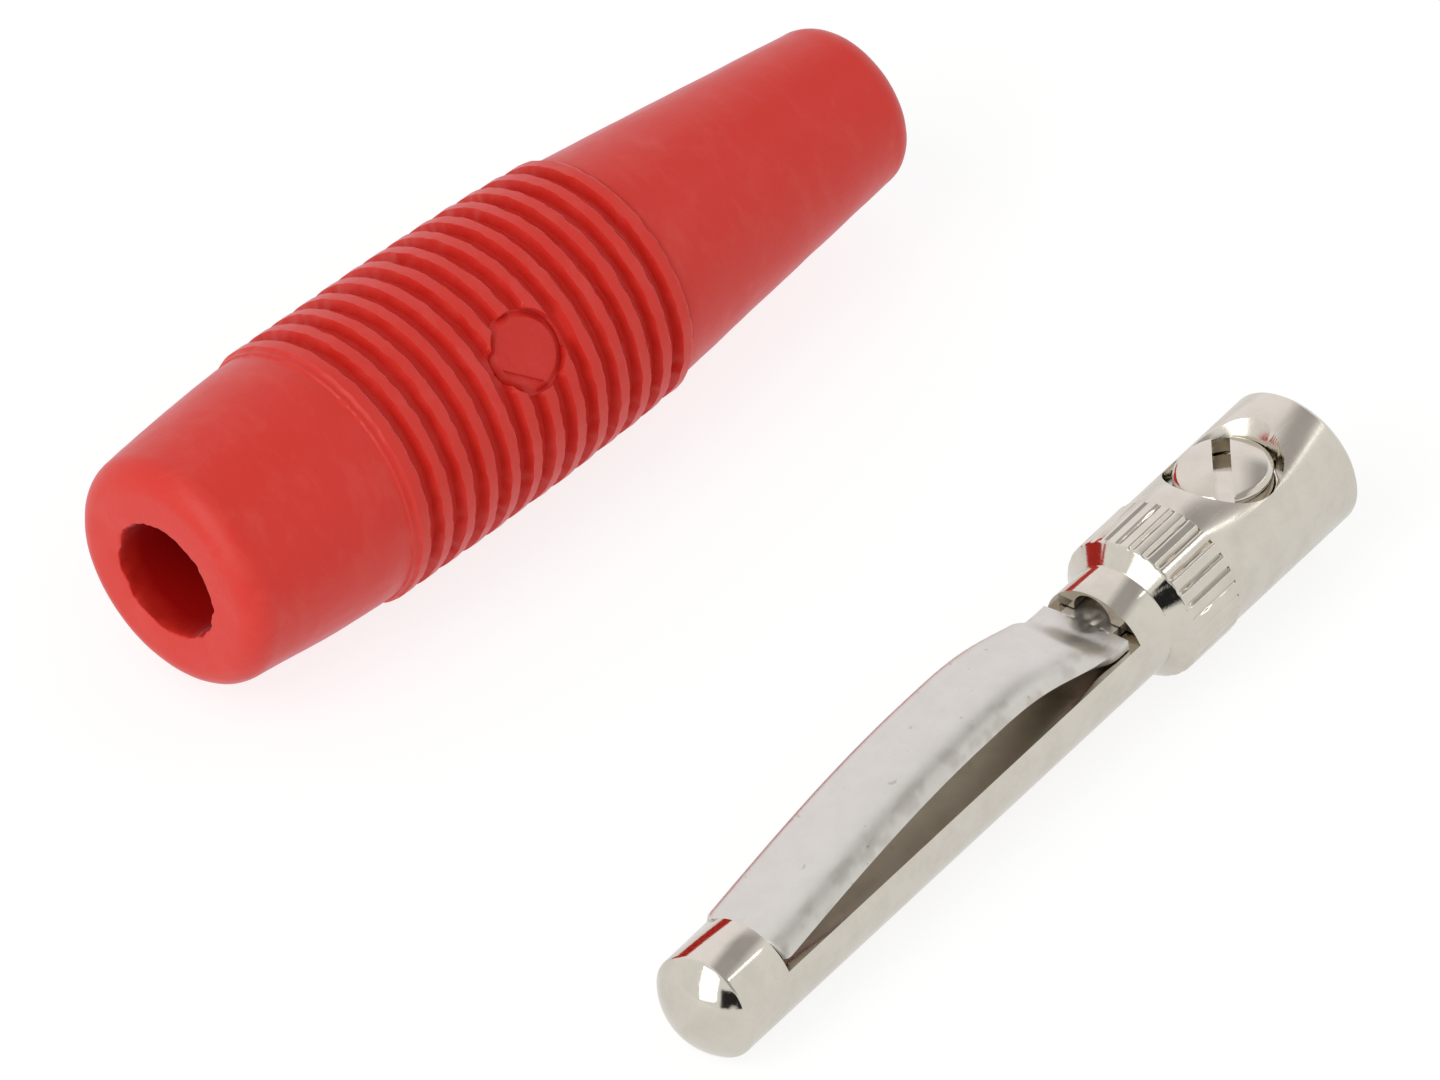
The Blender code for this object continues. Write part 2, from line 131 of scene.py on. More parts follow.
class LeafSizes(bpy.types.PropertyGroup):
    """Measures of the leaf, with its stations from the contact's tip"""

    thickness: length("Strip thickness", 0.35, "Thickness of the spring strip")
    width: length("Strip width", 3.4, "Width of the spring strip")
    corner: length("Front corners", 0.25, "Rounding of the two front corners")
    crown: length("Turned-down sides", 0.55, "How far the sides are turned down")
    bow: length("Bow", 1.09, "Height of the bow")
    front: length("Front end", 3.24, "Station of the leaf's front end")
    rise_start: length("Rise start", 3.727, "Station where the bow starts")
    crest_start: length("Crest start", 13.718, "Station where the crest starts")
    crest_end: length("Crest end", 14.326, "Station where the crest ends")
    fall_end: length("Fall end", 20.72, "Station where the bow has come down")
    flattening_start: length("Flattening start", 19.22, "Station where the crown starts to fade")
    flattening_length: length("Flattening length", 1.398, "Length over which the crown fades")
    shoulder: length("Shoulder", 21.17, "Station where the strip narrows to its tongue")
    tongue_width: length("Tongue width", 2.1, "Width of the tongue under the ring")
    tongue_length: length("Tongue length", 1.35, "Length of the tongue")
    tongue_top: length("Tongue top", 1.07, "Height of the tongue's top above the axis")
    stake_station: length("Stake station", 21.32, "Station of the staking mark")
    stake_radius: length("Stake radius", 0.6, "Radius of the staking mark")
    stake_depth: length("Stake depth", 0.10, "Depth of the staking mark")
    travel: length("Travel", 1.0, "How far the crest can be pressed in")


class ScrewSizes(bpy.types.PropertyGroup):
    """Measures of the clamp screw"""

    radius: length("Screw radius", 1.65, "Radius over the thread")
    screw_length: length("Screw length", 2.0, "Length of the screw")
    dome: length("Dome", 0.25, "Height of the domed face")
    edge: length("Edge chamfer", 0.14, "Chamfer round both ends")
    top: length("Top height", 2.4, "Height of the dome above the contact's axis")
    station: length("Station", 28.5995, "Station of the screw's axis")
    slot_width: length("Slot width", 0.6, "Width of the driver slot")
    slot_depth: length("Slot depth", 1.1, "Depth of the driver slot")
    slot_turn: degrees("Slot turn", 40, "Turn of the slot")
    thread_pitch: length("Thread pitch", 0.6, "Pitch of the fine thread")
    thread_depth: length("Thread depth", 0.08, "Drawn depth of the thread")


class SleeveSizes(bpy.types.PropertyGroup):
    """Measures of the sleeve, from its mouth and its axis"""

    sleeve_length: length("Sleeve length", 31.9, "Length from mouth to cable end")
    front_radius: length("Front radius", 4.19, "Radius behind the rounded front")
    front_round: length("Front rounding", 1.0, "Rounding of the front edge")
    shoulder_radius: length("Shoulder radius", 4.6, "Radius just in front of the ribs")
    rib_start: length("First rib", 6.61, "Station where the ribs start")
    rib_pitch: length("Rib pitch", 1.035, "Distance from rib to rib")
    rib_count: IntProperty(name="Ribs", description="Number of ribs", default=13)
    rib_depth: length("Rib depth", 0.36, "Depth of the grooves between the ribs")
    crest_radius: length("Crest radius", 4.75, "Radius over the front ribs")
    rear_crest_radius: length("Rear crest radius", 4.36, "Radius over the last rib")
    tail_front: length("Tail front radius", 4.187, "Radius where the tail starts")
    tail_rear: length("Tail rear radius", 2.93, "Radius at the cable end")
    tail_round: length("Tail rounding", 1.05, "Rounding of the cable end")
    mouth_radius: length("Mouth radius", 2.1, "Radius of the hole for the pin")
    mouth_length: length("Mouth length", 2.7, "Length of that hole")
    cable_radius: length("Cable hole radius", 1.8, "Radius of the hole for the cable")
    spot_station: length("Gate spot station", 13.35, "Station of the moulding gate's mark")
    spot_radius: length("Gate spot radius", 1.42, "Radius of the mark")
    spot_height: length("Gate spot face", 4.44, "Distance of its flat face from the axis")
    spot_disc: length("Gate disc radius", 1.12, "Radius of the disc inside the ring groove")
    spot_step: length("Gate step", 0.8, "Distance of the step across the disc from its centre")
    spot_groove: length("Gate groove floor", 4.21, "Distance of the groove's floor from the axis")
    spot_turn: degrees("Gate spot turn", 45, "Turn of the mark from straight up")
    ledge: length("Ledge", 0.025, "Height of the fine ledge in front of the first rib")
    unevenness: length("Unevenness", 0.02, "How uneven the moulded skin is")
    waviness: length("Waviness", 0.06, "How wavy the edges of the ribs are")


class FinishColours(bpy.types.PropertyGroup):
    """Colours of the metals, the plastic and the floor"""

    nickel: colour("Nickel", "dbd5ca", "Bright nickel plating")
    strip: colour("Strip", "e0ddd8", "Nickelled spring strip")
    # Random dull tone, and painted shade in the contact's hollows and under the leaf
    tarnish_and_painted_shade: colour("Tarnish", "8f8370", "Dull film in the hollows of the plating")
    red: colour("Red", "e03327", "Moulded red plastic")
    # Painted shade: the red drawn in the grooves and the mouth
    red_painted_shade: colour("Deep red", "b0130e", "Same plastic in its grooves")
    red_scuffed: colour("Scuffed red", "e8584c", "Rubbed crests of the plastic")
    floor: colour("Floor", "8c8c8b", "Pale studio floor")


# Mesh helpers


def eased(corners, arcs=5):
    """A profile of (station, radius) points from corners that may name a rounding of their own."""
    points = []
    for i, corner in enumerate(corners):
        here = Vector(corner[:2])
        fillet = corner[2] if len(corner) > 2 else 0.0
        if not fillet:
            points.append(here)
            continue
        before, after = Vector(corners[i - 1][:2]), Vector(corners[i + 1][:2])
        start = here + (before - here).normalized() * fillet
        end = here + (after - here).normalized() * fillet
        for k in range(arcs + 1):
            t = k / arcs
            points.append(start * (1 - t) ** 2 + here * 2 * t * (1 - t) + end * t * t)
    return points


def spun(profile, steps):
    """The profile spun about +X, as a closed bmesh."""
    bm = bmesh.new()
    verts = [bm.verts.new((station, 0.0, radius)) for station, radius in profile]
    edges = [bm.edges.new(pair) for pair in zip(verts, verts[1:])]
    bmesh.ops.spin(
        bm,
        geom=verts + edges,
        cent=(0, 0, 0),
        axis=(1, 0, 0),
        angle=math.tau,
        steps=steps,
        use_merge=True,
        use_duplicate=False,
    )
    bmesh.ops.remove_doubles(bm, verts=bm.verts, dist=MERGE)
    bmesh.ops.recalc_face_normals(bm, faces=bm.faces)
    return bm


def block(low, high):
    bm = bmesh.new()
    low, high = Vector(low), Vector(high)
    bmesh.ops.create_cube(bm, size=1.0)
    bmesh.ops.scale(bm, vec=high - low, verts=bm.verts)
    bmesh.ops.translate(bm, vec=(low + high) / 2, verts=bm.verts)
    return bm


def drum(radius, depth, segments):
    """A cylinder from the origin up +Z."""
    bm = bmesh.new()
    bmesh.ops.create_cone(
        bm, cap_ends=True, segments=segments, radius1=radius, radius2=radius, depth=depth
    )
    bmesh.ops.translate(bm, vec=(0, 0, depth / 2), verts=bm.verts)
    return bm


def prism(outline, low, high):
    """An upright prism over the outline's (x, y) points."""
    bm = bmesh.new()
    face = bm.faces.new([bm.verts.new((x, y, low)) for x, y in outline])
    top = bmesh.ops.extrude_face_region(bm, geom=[face])["geom"]
    raised = [item for item in top if isinstance(item, bmesh.types.BMVert)]
    bmesh.ops.translate(bm, vec=(0, 0, high - low), verts=raised)
    bmesh.ops.recalc_face_normals(bm, faces=bm.faces)
    return bm


def moved(bm, matrix):
    bmesh.ops.transform(bm, matrix=matrix, verts=bm.verts)
    return bm


def lifted(height):
    return Matrix.Translation((0, 0, height))


def off_axis(point):
    return math.hypot(point.y, point.z)


def scale_across(vertex, factor):
    """Move the vertex towards the X axis, or away from it."""
    vertex.co.y *= factor
    vertex.co.z *= factor


def middle_of(edge):
    return (edge.verts[0].co + edge.verts[1].co) / 2


def new_piece(name, bm):
    mesh = bpy.data.meshes.new(name)
    bm.to_mesh(mesh)
    bm.free()
    piece = bpy.data.objects.new(name, mesh)
    bpy.context.scene.collection.objects.link(piece)
    return piece


def settle(piece):
    """Apply the piece's modifiers to its mesh."""
    bpy.context.view_layer.update()
    shape = piece.evaluated_get(bpy.context.evaluated_depsgraph_get())
    mesh = bpy.data.meshes.new_from_object(shape)
    mesh.name = piece.name
    piece.modifiers.clear()
    piece.data = mesh


def carve(piece, cutters, operation="DIFFERENCE"):
    """Cut the cutter bmeshes out of the piece, or join them to it, then leave none behind."""
    helpers = []
    for i, bm in enumerate(cutters):
        helper = new_piece(f"{piece.name}_cut_{i}", bm)
        boolean = piece.modifiers.new(helper.name, "BOOLEAN")
        boolean.operation = operation
        boolean.solver = "MANIFOLD"
        boolean.object = helper
        helpers.append(helper)
    settle(piece)
    for helper in helpers:
        mesh = helper.data
        bpy.data.objects.remove(helper, do_unlink=True)
        bpy.data.meshes.remove(mesh)


def break_edges(piece, width, wanted, segments=2):
    """Bevel the sharp edges that wanted(edge) picks."""
    bm = bmesh.new()
    bm.from_mesh(piece.data)
    bmesh.ops.remove_doubles(bm, verts=bm.verts, dist=SLIVER)
    bmesh.ops.dissolve_degenerate(bm, edges=bm.edges, dist=SLIVER)
    paired = [edge for edge in bm.edges if len(edge.link_faces) == 2]
    sharp = [edge for edge in paired if edge.calc_face_angle() > SHARP]
    bmesh.ops.bevel(
        bm,
        geom=[edge for edge in sharp if wanted(edge)],
        offset=width,
        affect="EDGES",
        segments=segments,
        profile=0.5,
        material=-1,
        clamp_overlap=True,
    )
    bm.to_mesh(piece.data)
    bm.free()


def smooth_faces(piece, angle=40):
    """Shade the piece smooth, and let its large faces lead the normals at rounded edges."""
    piece.data.shade_smooth()
    piece.data.set_sharp_from_angle(angle=math.radians(angle))
    weighted = piece.modifiers.new("Weighted", "WEIGHTED_NORMAL")
    weighted.keep_sharp = True
    settle(piece)


def dress(piece, material, place, node, body):
    """Give the finished piece its material, its place in the row frame, and what it stands for."""
    piece.data.transform(place)
    piece.data.materials.clear()
    piece.data.materials.append(material)
    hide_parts(node)
    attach(piece, body)


def mark_painted_shade(piece, domain, values):
    """Store each face's or vertex's share of painted shade, with scuffs on the leaf's near side,
    for its material.
    """
    painted_shade_and_scuffs = piece.data.attributes.new("painted_shade_and_scuffs", "FLOAT", domain)
    painted_shade_and_scuffs.data.foreach_set("value", values)


def smoothstep(share):
    share = min(1.0, max(0.0, share))
    return share * share * (3 - 2 * share)


# Material helpers


def feed(tree, node, **inputs):
    """Set inputs by name, or by number as _0, each from a socket or to a plain value."""
    for key, value in inputs.items():
        socket = node.inputs[int(key[1:]) if key[1:].isdigit() else key.replace("_", " ")]
        if isinstance(value, bpy.types.NodeSocket):
            tree.links.new(value, socket)
        elif socket.type == "RGBA":
            socket.default_value = (*value, 1.0)
        else:
            socket.default_value = value


def add(tree, kind, settings=None, **inputs):
    node = tree.nodes.new(kind)
    for key, value in (settings or {}).items():
        setattr(node, key, value)
    feed(tree, node, **inputs)
    return node


def new_material(name, place):
    """A Principled material and its Object coordinates in the piece's own frame, in millimetres."""
    material = bpy.data.materials.new(name)
    material.use_nodes = True
    tree = material.node_tree
    coordinates = add(tree, "ShaderNodeTexCoord")
    turned = add(
        tree,
        "ShaderNodeMapping",
        {"vector_type": "TEXTURE"},
        Vector=coordinates.outputs["Object"],
        Location=place[0],
        Rotation=place[1],
        Scale=(MM, MM, MM),
    )
    return material, tree, tree.nodes["Principled BSDF"], turned.outputs["Vector"]


def clouds(tree, vector, scale, detail, roughness=0.5, distortion=0.0, stretch=None):
    """Noise, drawn out along the axes where stretch is small."""
    if stretch:
        vector = add(tree, "ShaderNodeMapping", Vector=vector, Scale=stretch).outputs["Vector"]
    noises = dict(Scale=scale, Detail=detail, Roughness=roughness, Distortion=distortion)
    return add(tree, "ShaderNodeTexNoise", Vector=vector, **noises).outputs["Fac"]


def reckon(tree, operation, *values, clamp=False):
    inputs = {f"_{i}": value for i, value in enumerate(values)}
    settings = {"operation": operation, "use_clamp": clamp}
    return add(tree, "ShaderNodeMath", settings, **inputs).outputs["Value"]


def fitted(tree, value, low, high, span=(0.0, 1.0), clamp=True):
    """The value, read from the span and spread from low to high."""
    limits = dict(_1=span[0], _2=span[1], _3=low, _4=high)
    node = add(tree, "ShaderNodeMapRange", {"clamp": clamp}, Value=value, **limits)
    return node.outputs["Result"]


def blend(tree, share, base, over):
    rgba = {"data_type": "RGBA"}
    return add(tree, "ShaderNodeMix", rgba, _0=share, _6=base, _7=over).outputs[2]


# Painted shade, with the leaf's scuffs, read from the mesh's attribute
def hollows(tree):
    return add(tree, "ShaderNodeAttribute", {"attribute_name": "painted_shade_and_scuffs"}).outputs["Fac"]


def relief(tree, height, strength, depth):
    """A bump of the given depth in millimetres, as a normal."""
    bump = add(tree, "ShaderNodeBump", Height=height, Strength=strength, Distance=depth * MM)
    return bump.outputs["Normal"]


def ramp(tree, value, stops):
    """A ramp of (position, grey) stops."""
    node = add(tree, "ShaderNodeValToRGB", Fac=value)
    elements = node.color_ramp.elements
    while len(elements) < len(stops):
        elements.new(0.5)
    for element, (position, tone) in zip(elements, stops):
        element.position = position
        element.color = (tone, tone, tone, 1.0)
    return node.outputs["Color"]


def nickel_plating(name, place):
    """Bright nickel over turned brass: fine lathe lines, a thin uneven film, stray scratches and
    painted shade in the hollows.
    """
    colours = bpy.context.scene.plug_colours
    material, tree, shader, here = new_material(name, place)
    darkening = clouds(tree, here, 0.9, 6.0, 0.6)
    # Lathe feed marks are about 0.05 mm apart; drawn at 0.16 mm so that they show
    lines = clouds(tree, here, 1.0, 5.0, 0.65, stretch=(6.0, 0.35, 0.35))
    pits = clouds(tree, here, 14.0, 3.0, 0.7)
    scratches = clouds(tree, here, 1.3, 2.0, distortion=0.8, stretch=(0.7, 5.0, 5.0))
    scratched = ramp(tree, scratches, [(0.60, 0.0), (0.66, 1.0)])
    dull = ramp(tree, darkening, [(0.42, 0.0), (0.72, 1.0)])
    # Painted shade: the hollows' share from the mesh's attribute darkens the nickel towards the
    # tarnish colour
    dull_and_painted_shade = reckon(tree, "MULTIPLY_ADD", dull, 0.16, hollows(tree), clamp=True)
    # The barrel, from 25.7 mm on, is turned less finely than the pin
    station = add(tree, "ShaderNodeSeparateXYZ", Vector=here).outputs["X"]
    coarse = fitted(tree, station, 0.0, 1.3, (25.4, 26.3))
    worn = reckon(tree, "ADD", dull, scratched)
    worn = reckon(tree, "MULTIPLY_ADD", worn, 0.6, coarse)
    feed(
        tree,
        shader,
        Base_Color=blend(tree, dull_and_painted_shade, colours.nickel, colours.tarnish_and_painted_shade),
        Roughness=fitted(tree, worn, 0.05, 0.16, clamp=False),
        Normal=relief(tree, reckon(tree, "MULTIPLY_ADD", lines, 0.7, pits), 0.10, 0.012),
        Metallic=1.0,
    )
    return material


def spring_strip(name, place):
    """Rolled and nickelled bronze strip: satin, with rolling lines, a few dull specks and painted
    shade under it and along its near side.
    """
    colours = bpy.context.scene.plug_colours
    material, tree, shader, here = new_material(name, place)
    rolling = clouds(tree, here, 1.0, 6.0, 0.7, stretch=(0.25, 6.0, 6.0))
    grain = clouds(tree, here, 16.0, 3.0, 0.7)
    dull = ramp(tree, clouds(tree, here, 1.1, 5.0, 0.6), [(0.40, 0.0), (0.70, 1.0)])
    specks = ramp(tree, clouds(tree, here, 2.6, 2.0), [(0.69, 0.0), (0.73, 1.0)])
    # Painted shade under the strip and along its near side, with its scuffs, joins the dull specks
    darkening = reckon(tree, "MULTIPLY_ADD", specks, 0.3, hollows(tree), clamp=True)
    darkening = reckon(tree, "MULTIPLY_ADD", dull, 0.08, darkening, clamp=True)
    feed(
        tree,
        shader,
        Base_Color=blend(tree, darkening, colours.strip, colours.tarnish_and_painted_shade),
        Roughness=fitted(tree, rolling, 0.32, 0.50),
        Normal=relief(tree, reckon(tree, "MULTIPLY_ADD", rolling, 0.8, grain), 0.22, 0.02),
        Metallic=1.0,
    )
    return material


def red_plastic(name, place):
    """Moulded plasticised PVC: satin skin and paler rubbed crests, with painted shade: a darker red
    and less reflection in the grooves and the mouth, and a little darker on the gate mark's disc.
    """
    colours = bpy.context.scene.plug_colours
    material, tree, shader, here = new_material(name, place)
    painted_shade_and_scuffs = hollows(tree)
    cloud = clouds(tree, here, 0.7, 7.0, 0.62)
    # The skin's orange peel is about 0.1 mm; the finest part is drawn at 0.15 mm so that it shows
    skin = clouds(tree, here, 6.5, 5.0, 0.65)
    scuffs = clouds(tree, here, 1.0, 5.0, 0.6, 0.4, stretch=(1.2, 0.6, 0.6))
    rubbed = ramp(tree, scuffs, [(0.50, 0.0), (0.74, 1.0)])
    crest = ramp(tree, painted_shade_and_scuffs, [(0.0, 1.0), (0.35, 0.0)])
    worn = reckon(tree, "MULTIPLY", reckon(tree, "MULTIPLY", rubbed, crest), 0.32)
    # Painted shade: the red darkens where the attribute marks grooves and the mouth
    shaded_red = blend(tree, painted_shade_and_scuffs, colours.red, colours.red_painted_shade)
    feed(
        tree,
        shader,
        Base_Color=blend(tree, worn, shaded_red, colours.red_scuffed),
        Roughness=fitted(tree, cloud, 0.33, 0.50),
        Normal=relief(tree, reckon(tree, "MULTIPLY_ADD", cloud, 1.2, skin), 0.25, 0.05),
        # Painted shade: less reflection in the grooves and the mouth
        Specular_IOR_Level=fitted(tree, painted_shade_and_scuffs, 0.42, 0.05),
        IOR=1.5,
        Sheen_Weight=0.36,
        Sheen_Roughness=0.25,
        Sheen_Tint=(0.9, 0.8, 1.0),
    )
    return material


# Pieces


# Room round the tongue in its slot: in front of the ring, beside, above and behind
SLOT_LEAD = 0.35 * MM
SLOT_SIDE = 0.08 * MM
SLOT_TOP = 0.05 * MM
SLOT_REAR = 0.15 * MM

# Painted shade in the contact's hollows: under the ring, in the threaded hole and on the milled
# flat under the leaf
POCKET_PAINTED_SHADE = 0.6
THREAD_PAINTED_SHADE = 0.9
FLAT_PAINTED_SHADE = 0.12


def contact_stations(sizes):
    """Where the ring, the cone, the collar and the barrel start, and where the contact ends."""
    ring = sizes.tip_length + sizes.flat_length
    cone = ring + sizes.ring_length
    collar = cone + sizes.cone_length
    barrel = collar + sizes.collar_length
    return ring, cone, collar, barrel, barrel + sizes.barrel_length


def contact_profile(sizes):
    """Nose, pin, cone, collar, barrel and wire bore, from the tip round the outside."""
    arcs, rows = 20, 12
    sphere = sizes.nose_sphere
    dome = math.asin(sizes.nose_radius / sphere)
    angles = [dome * i / arcs for i in range(arcs)]
    ring, cone, collar, barrel, total = contact_stations(sizes)
    bore_end = total - sizes.bore_depth
    return eased(
        [(sphere * (1 - math.cos(angle)), sphere * math.sin(angle)) for angle in angles]
        + [
            (sphere * (1 - math.cos(dome)), sizes.nose_radius, sizes.nose_round * 0.5),
            (ring, sizes.pin_radius),
            (cone, sizes.pin_radius, sizes.edge),
            (collar, sizes.collar_radius, sizes.edge * 2),
        ]
        + [(collar + sizes.collar_length * i / rows, sizes.collar_radius) for i in range(1, rows)]
        + [
            (barrel, sizes.collar_radius, sizes.edge),
            (barrel, sizes.barrel_radius),
            (total - sizes.barrel_chamfer, sizes.barrel_radius, sizes.edge),
            (total, sizes.barrel_radius - sizes.barrel_chamfer, sizes.edge),
            (total, sizes.bore_radius, sizes.edge * 2),
            (bore_end, sizes.bore_radius, sizes.edge),
            (bore_end - sizes.drill_point, 0.0),
        ]
    )


def press_knurl(bm, sizes):
    """Press straight flutes with rounded ends into the collar."""
    half_flute, wear_share = 0.24, 0.35
    collar = contact_stations(sizes)[2]
    for vertex in bm.verts:
        station, radius = vertex.co.x - collar, off_axis(vertex.co)
        on_collar = -0.1 * MM < station <= sizes.collar_length + MERGE
        if radius < sizes.barrel_radius + 0.01 * MM or not on_collar:
            continue
        tooth = math.atan2(vertex.co.z, vertex.co.y) / math.tau * sizes.knurl_teeth
        wear = 1 + wear_share * noise.noise((round(tooth) * 1.7, station / (0.5 * MM), 0.0))
        groove = smoothstep(1 - abs(tooth - round(tooth)) / half_flute) * wear
        fade = smoothstep((station + 0.08 * MM) / (0.30 * MM))
        scale_across(vertex, 1 - sizes.knurl_depth * fade * groove / radius)


def leaning_seat(sizes):
    """The step round the screw: nearly upright on one side, countersunk on the other."""
    draft, countersink, onset = 0.06, 0.34, 0.6
    foot, top = sizes.counterbore_height, sizes.barrel_radius + 0.05 * MM
    away = Vector((math.cos(sizes.flare_turn), math.sin(sizes.flare_turn), 0.0))
    bm = drum(sizes.counterbore_radius, top - foot, 128)
    for vertex in bm.verts:
        far = vertex.co.xy.normalized().dot(away.xy)
        if vertex.co.z < MERGE:
            shrink = 1 - draft - countersink * smoothstep(far / onset)
            vertex.co.x *= shrink
            vertex.co.y *= shrink
        vertex.co += away * sizes.flare
        vertex.co.z += foot
    return bm


class PLUG_OT_contact(bpy.types.Operator):
    """Turned contact with its milled flat, knurled collar and clamp barrel"""

    bl_idname = "plug.contact"
    bl_label = "Contact"

    def execute(self, context):
        scene = context.scene
        sizes, leaf, screw = scene.plug_contact, scene.plug_leaf, scene.plug_screw
        bm = spun(contact_profile(sizes), sizes.knurl_teeth * 12)
        press_knurl(bm, sizes)
        piece = new_piece("contact_turned", bm)
        ring, cone, _, barrel, _ = contact_stations(sizes)
        wide = 2 * sizes.collar_radius
        half = leaf.tongue_width / 2 + SLOT_SIDE
        slot_front = ring - SLOT_LEAD
        slot_end = leaf.shoulder + leaf.tongue_length + SLOT_REAR
        slot_top = leaf.tongue_top + SLOT_TOP
        pocket = drum(sizes.pocket_radius, leaf.tongue_length, 48)
        pocket_seat = Matrix.Translation((slot_front, 0, sizes.pocket_height))
        thread = drum(sizes.thread_radius, 2 * sizes.barrel_radius, 96)
        screw_seat = Matrix.Translation((screw.station, 0, 0))
        carve(
            piece,
            [
                block((sizes.tip_length, -wide, sizes.flat_height), (ring, wide, wide)),
                block((slot_front, -half, sizes.flat_height), (slot_end, half, slot_top)),
                moved(pocket, pocket_seat @ Matrix.Rotation(math.pi / 2, 4, "Y")),
                moved(thread, screw_seat @ lifted(sizes.thread_foot)),
                moved(leaning_seat(sizes), screw_seat),
            ],
        )

        def milled(edge):
            # Not a turned edge from the cone to the barrel, nor one on the nose
            middle = middle_of(edge).x
            turned = cone - MERGE < middle < barrel + 0.1 * MM
            return not turned and middle > sizes.tip_length / 2

        break_edges(piece, sizes.edge, milled)
        smooth_faces(piece)
        # Painted shade on the faces in the slot and pocket under the ring, the threaded hole and
        # the milled flat
        face_shades = []
        for face in piece.data.polygons:
            x, y, z = face.center
            darkening = 0.0
            if z > sizes.flat_height + 0.02 * MM and ring - 0.4 * MM < x < slot_end:
                if off_axis(face.center) < sizes.pin_radius - 0.05 * MM:
                    darkening = POCKET_PAINTED_SHADE
            elif math.hypot(x - screw.station, y) < sizes.thread_radius + 0.02 * MM:
                if abs(face.normal.z) < 0.5 and z > sizes.thread_foot:
                    darkening = THREAD_PAINTED_SHADE
            elif face.normal.z > 0.95 and sizes.tip_length < x < ring:
                darkening = FLAT_PAINTED_SHADE
            face_shades.append(darkening)
        mark_painted_shade(piece, "FACE", face_shades)
        plating = nickel_plating("bright_nickel_plating", (CONTACT_TIP, CONTACT_TURN))
        dress(piece, plating, CONTACT_PLACE, "contact_body", "contact")
        return {"FINISHED"}


def leaf_raise(sizes, station):
    """How far the bow lifts the strip: a quarter sine up, a level crest and a steeper fall."""
    if station >= sizes.fall_end:
        return 0.0
    if station < sizes.crest_start:
        share = (station - sizes.rise_start) / (sizes.crest_start - sizes.rise_start)
        return sizes.bow * math.sin(math.pi / 2 * share)
    share = max(0.0, (station - sizes.crest_end) / (sizes.fall_end - sizes.crest_end))
    return sizes.bow * (1 + math.cos(math.pi * share**1.4)) / 2


def leaf_point(sizes, pin_radius, station, side):
    """Outer face of the strip: flat with turned-down sides, then level for the tongue."""
    near_power, far_power = 4, 16
    half = sizes.width / 2
    if station > sizes.shoulder:
        half = sizes.tongue_width / 2
    corner = min(1.0, max(0.0, 1 - (station - sizes.front) / sizes.corner))
    half -= sizes.corner * (1 - math.sqrt(1 - corner**2))
    y = side * half
    edge = math.sqrt(pin_radius**2 - (sizes.width / 2) ** 2)
    crown = 1 - smoothstep((station - sizes.flattening_start) / sizes.flattening_length)
    rise = sizes.crown * (1 - abs(side) ** (near_power if side < 0 else far_power))
    level = sizes.tongue_top + crown * (edge - sizes.tongue_top + rise)
    level += leaf_raise(sizes, station)
    away = math.hypot(station - sizes.stake_station, y) / sizes.stake_radius
    if away < 1:
        torn = 1 + 0.9 * noise.noise((station / (0.16 * MM), y / (0.3 * MM), 0.0))
        level -= sizes.stake_depth * (1 - away * away) * torn
    return (station, y, level)


def strip_painted_shade_and_scuffs(sizes, vertex):
    """Painted shade under the strip and on its turned-down near side, with scuffs in patches on
    that side.
    """
    under_painted_shade, near_side_painted_shade, scuff_patches = 0.45, 0.06, 0.24
    if vertex.normal.z < -0.3:
        return under_painted_shade
    side = 2 * vertex.co.y / sizes.width
    # The turned-down near side is darkened as painted shade; the patches on it are scuffs
    band = smoothstep((-0.5 - side) / 0.25)
    patch = noise.noise((vertex.co.x / (0.9 * MM), vertex.co.y / (0.4 * MM), 7.3))
    patch += 0.6 * noise.noise((vertex.co.x / (0.35 * MM), vertex.co.y / (0.2 * MM), 2.1))
    return band * (near_side_painted_shade + scuff_patches * smoothstep((patch + 0.05) / 0.5))


class PLUG_OT_leaf(bpy.types.Operator):
    """Bowed, crowned leaf spring with its tongue under the ring"""

    bl_idname = "plug.leaf"
    bl_label = "Leaf spring"

    def execute(self, context):
        sizes, contact = context.scene.plug_leaf, context.scene.plug_contact
        corner_cells, cells, tongue_cells, across = 6, 150, 12, 30
        corner_end = sizes.front + sizes.corner
        straight = sizes.shoulder - corner_end
        step = 0.03 * MM
        stations = [
            sizes.front + sizes.corner * (i / corner_cells) ** 2 for i in range(corner_cells + 1)
        ]
        stations += [corner_end + straight * i / cells for i in range(1, cells + 1)]
        narrow, rest = sizes.shoulder + step, sizes.tongue_length - step
        stations += [narrow + rest * i / tongue_cells for i in range(tongue_cells + 1)]
        last = len(stations) - 1
        bm = bmesh.new()
        bmesh.ops.create_grid(bm, x_segments=last, y_segments=across, size=0.5)
        for vertex in bm.verts:
            station = stations[round((vertex.co.x + 0.5) * last)]
            vertex.co = leaf_point(sizes, contact.pin_radius, station, vertex.co.y * 2)
        piece = new_piece("leaf_strip", bm)
        solid = piece.modifiers.new("Thickness", "SOLIDIFY")
        solid.thickness = sizes.thickness
        solid.offset = -1.0
        settle(piece)
        break_edges(piece, 0.05 * MM, lambda edge: True, 3)
        smooth_faces(piece, 50)
        # Painted shade under the strip and on its near side, with scuffs there
        mark_painted_shade(piece, "POINT", [strip_painted_shade_and_scuffs(sizes, vertex) for vertex in piece.data.vertices])
        strip = spring_strip("satin_nickel_strip", (CONTACT_TIP, CONTACT_TURN))
        dress(piece, strip, CONTACT_PLACE, "leaf_spring", "spring")
        crest_height = leaf_point(sizes, contact.pin_radius, sizes.crest_start, 0.0)[2]
        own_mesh(piece)
        return {"FINISHED"}


